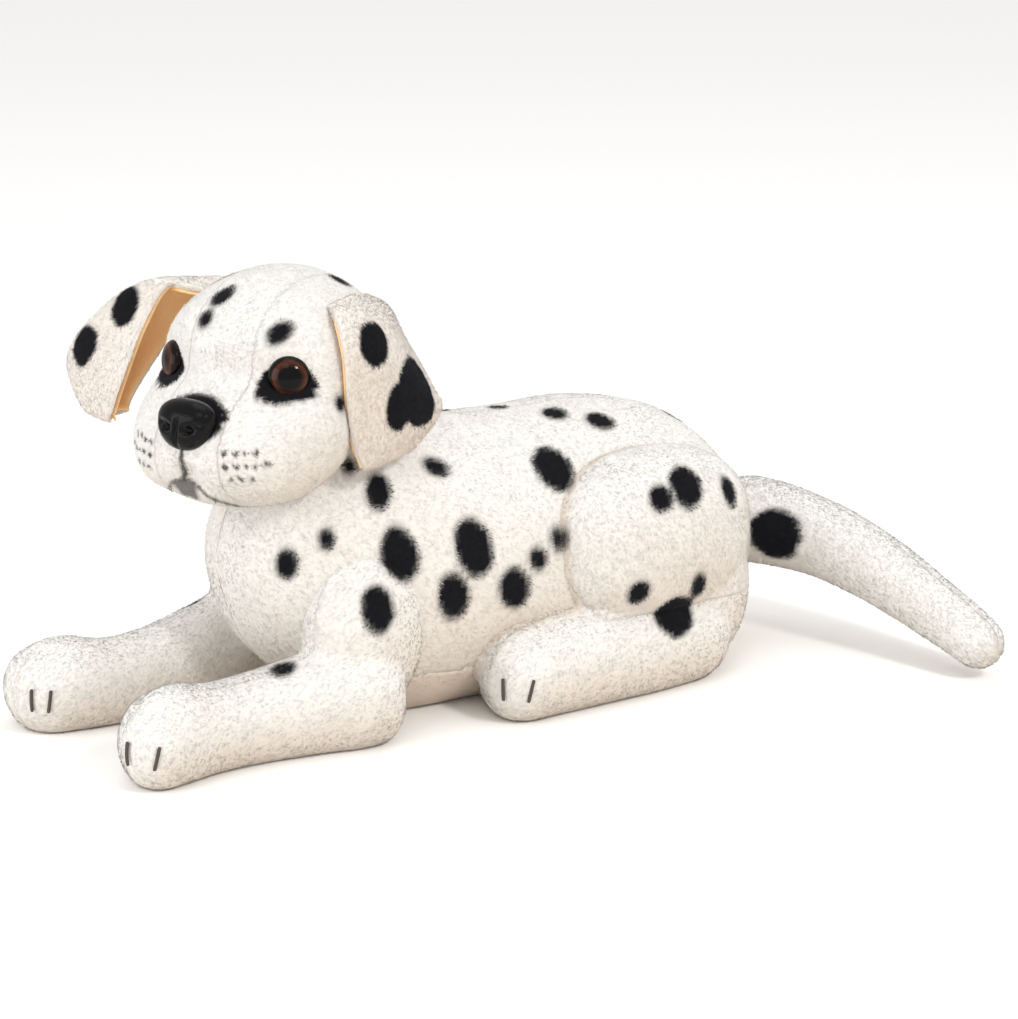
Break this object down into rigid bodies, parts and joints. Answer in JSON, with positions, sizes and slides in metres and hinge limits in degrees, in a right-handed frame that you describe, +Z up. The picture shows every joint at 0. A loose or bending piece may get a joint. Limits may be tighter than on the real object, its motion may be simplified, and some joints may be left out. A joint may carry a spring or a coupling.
{
  "type": "plush dog",
  "caption": "Lying plush dog: sewn pile-fabric panels over stuffing, with safety eyes and nose, soft seams at neck, ears, legs and tail.",
  "frame": {"origin": "middle of the base of the whole dog's box, on the surface it lies on", "axes": "-X the way the dog faces, -Y the dog's left side, +Z up"},
  "size_m": [0.3288, 0.1786, 0.1619],
  "materials": {
    "body_pile": "short white pile with black airbrushed spots",
    "head_pile": "short white pile with black airbrushed spots and mouth",
    "ear_pile": "short white pile with black airbrushed spots",
    "belly_pile": "short off-white pile",
    "ear_lining": "smooth peach lining cloth",
    "stuffing": "white polyester wadding",
    "eye": "polished dark brown with a black pupil",
    "nose": "polished black with a fine pebble",
    "washer": "moulded off-white",
    "toe_thread": "dark brown embroidery thread"
  },
  "bodies": {
    "body": {"body_side_left": "body_pile", "body_side_right": "body_pile", "belly_panel": "belly_pile", "body_stuffing": "stuffing"},
    "neck": {"neck_stuffing": "stuffing"},
    "head": {"head_side_left": "head_pile", "head_side_right": "head_pile", "head_gusset": "head_pile", "chin_panel": "head_pile", "head_stuffing": "stuffing", "eye_left": "eye", "eye_left_washer": "washer", "eye_right": "eye", "eye_right_washer": "washer", "nose": "nose", "nose_washer": "washer"},
    "ear_left": {"ear_left_outer": "ear_pile", "ear_left_lining": "ear_lining"},
    "ear_right": {"ear_right_outer": "ear_pile", "ear_right_lining": "ear_lining"},
    "front_leg_left": {"front_leg_left_outer": "body_pile", "front_leg_left_inner": "body_pile", "front_leg_left_stuffing": "stuffing", "toe_stitch_front_left_1": "toe_thread", "toe_stitch_front_left_2": "toe_thread"},
    "front_leg_right": {"front_leg_right_outer": "body_pile", "front_leg_right_inner": "body_pile", "front_leg_right_stuffing": "stuffing", "toe_stitch_front_right_1": "toe_thread", "toe_stitch_front_right_2": "toe_thread"},
    "hind_leg_left": {"thigh_left": "body_pile", "thigh_left_stuffing": "stuffing", "hind_foot_left_outer": "body_pile", "hind_foot_left_inner": "body_pile", "hind_foot_left_stuffing": "stuffing", "toe_stitch_hind_left_1": "toe_thread", "toe_stitch_hind_left_2": "toe_thread"},
    "hind_leg_right": {"thigh_right": "body_pile", "thigh_right_stuffing": "stuffing", "hind_foot_right_outer": "body_pile", "hind_foot_right_inner": "body_pile", "hind_foot_right_stuffing": "stuffing", "toe_stitch_hind_right_1": "toe_thread", "toe_stitch_hind_right_2": "toe_thread"},
    "tail_root": {"tail_root_stuffing": "stuffing"},
    "tail": {"tail_side_left": "body_pile", "tail_side_right": "body_pile", "tail_stuffing": "stuffing"}
  },
  "joints": [
    {"name": "head_turn", "type": "hinge", "parent": "body", "child": "neck", "pos_m": [-0.06543, 0.02226, 0.099], "axis": [0, 0, 1], "range_deg": [-20, 20], "stiffness_Nm_per_rad": 0.4},
    {"name": "head_nod", "type": "hinge", "parent": "neck", "child": "head", "pos_m": [-0.06543, 0.02226, 0.099], "axis": [-0.4067, 0.9135, 0], "range_deg": [-6, 10], "stiffness_Nm_per_rad": 0.6},
    {"name": "ear_left_lift", "type": "hinge", "parent": "head", "child": "ear_left", "pos_m": [-0.06138, -0.00169, 0.152], "axis": [-0.9135, -0.4067, 0], "range_deg": [0, 60], "stiffness_Nm_per_rad": 0.03},
    {"name": "ear_right_lift", "type": "hinge", "parent": "head", "child": "ear_right", "pos_m": [-0.08416, 0.04947, 0.152], "axis": [0.9135, 0.4067, 0], "range_deg": [-15, 30], "stiffness_Nm_per_rad": 0.03},
    {"name": "front_leg_left_lift", "type": "hinge", "parent": "body", "child": "front_leg_left", "pos_m": [-0.05543, 0.02626, 0.03], "axis": [0, 1, 0], "range_deg": [0, 20], "stiffness_Nm_per_rad": 0.3},
    {"name": "front_leg_right_lift", "type": "hinge", "parent": "body", "child": "front_leg_right", "pos_m": [-0.05543, 0.02626, 0.03], "axis": [0, 1, 0], "range_deg": [0, 20], "stiffness_Nm_per_rad": 0.3},
    {"name": "hind_leg_left_spread", "type": "hinge", "parent": "body", "child": "hind_leg_left", "pos_m": [0.05657, -0.01074, 0.078], "axis": [-1, 0, 0], "range_deg": [0, 15], "stiffness_Nm_per_rad": 0.5},
    {"name": "hind_leg_right_spread", "type": "hinge", "parent": "body", "child": "hind_leg_right", "pos_m": [0.05657, 0.06326, 0.078], "axis": [1, 0, 0], "range_deg": [0, 15], "stiffness_Nm_per_rad": 0.5},
    {"name": "tail_swing", "type": "hinge", "parent": "body", "child": "tail_root", "pos_m": [0.10857, 0.02526, 0.044], "axis": [0, 0, 1], "range_deg": [-25, 25], "stiffness_Nm_per_rad": 0.12},
    {"name": "tail_lift", "type": "hinge", "parent": "tail_root", "child": "tail", "pos_m": [0.10857, 0.02526, 0.044], "axis": [-0.8, -0.6, 0], "range_deg": [0, 25], "stiffness_Nm_per_rad": 0.12}
  ]
}
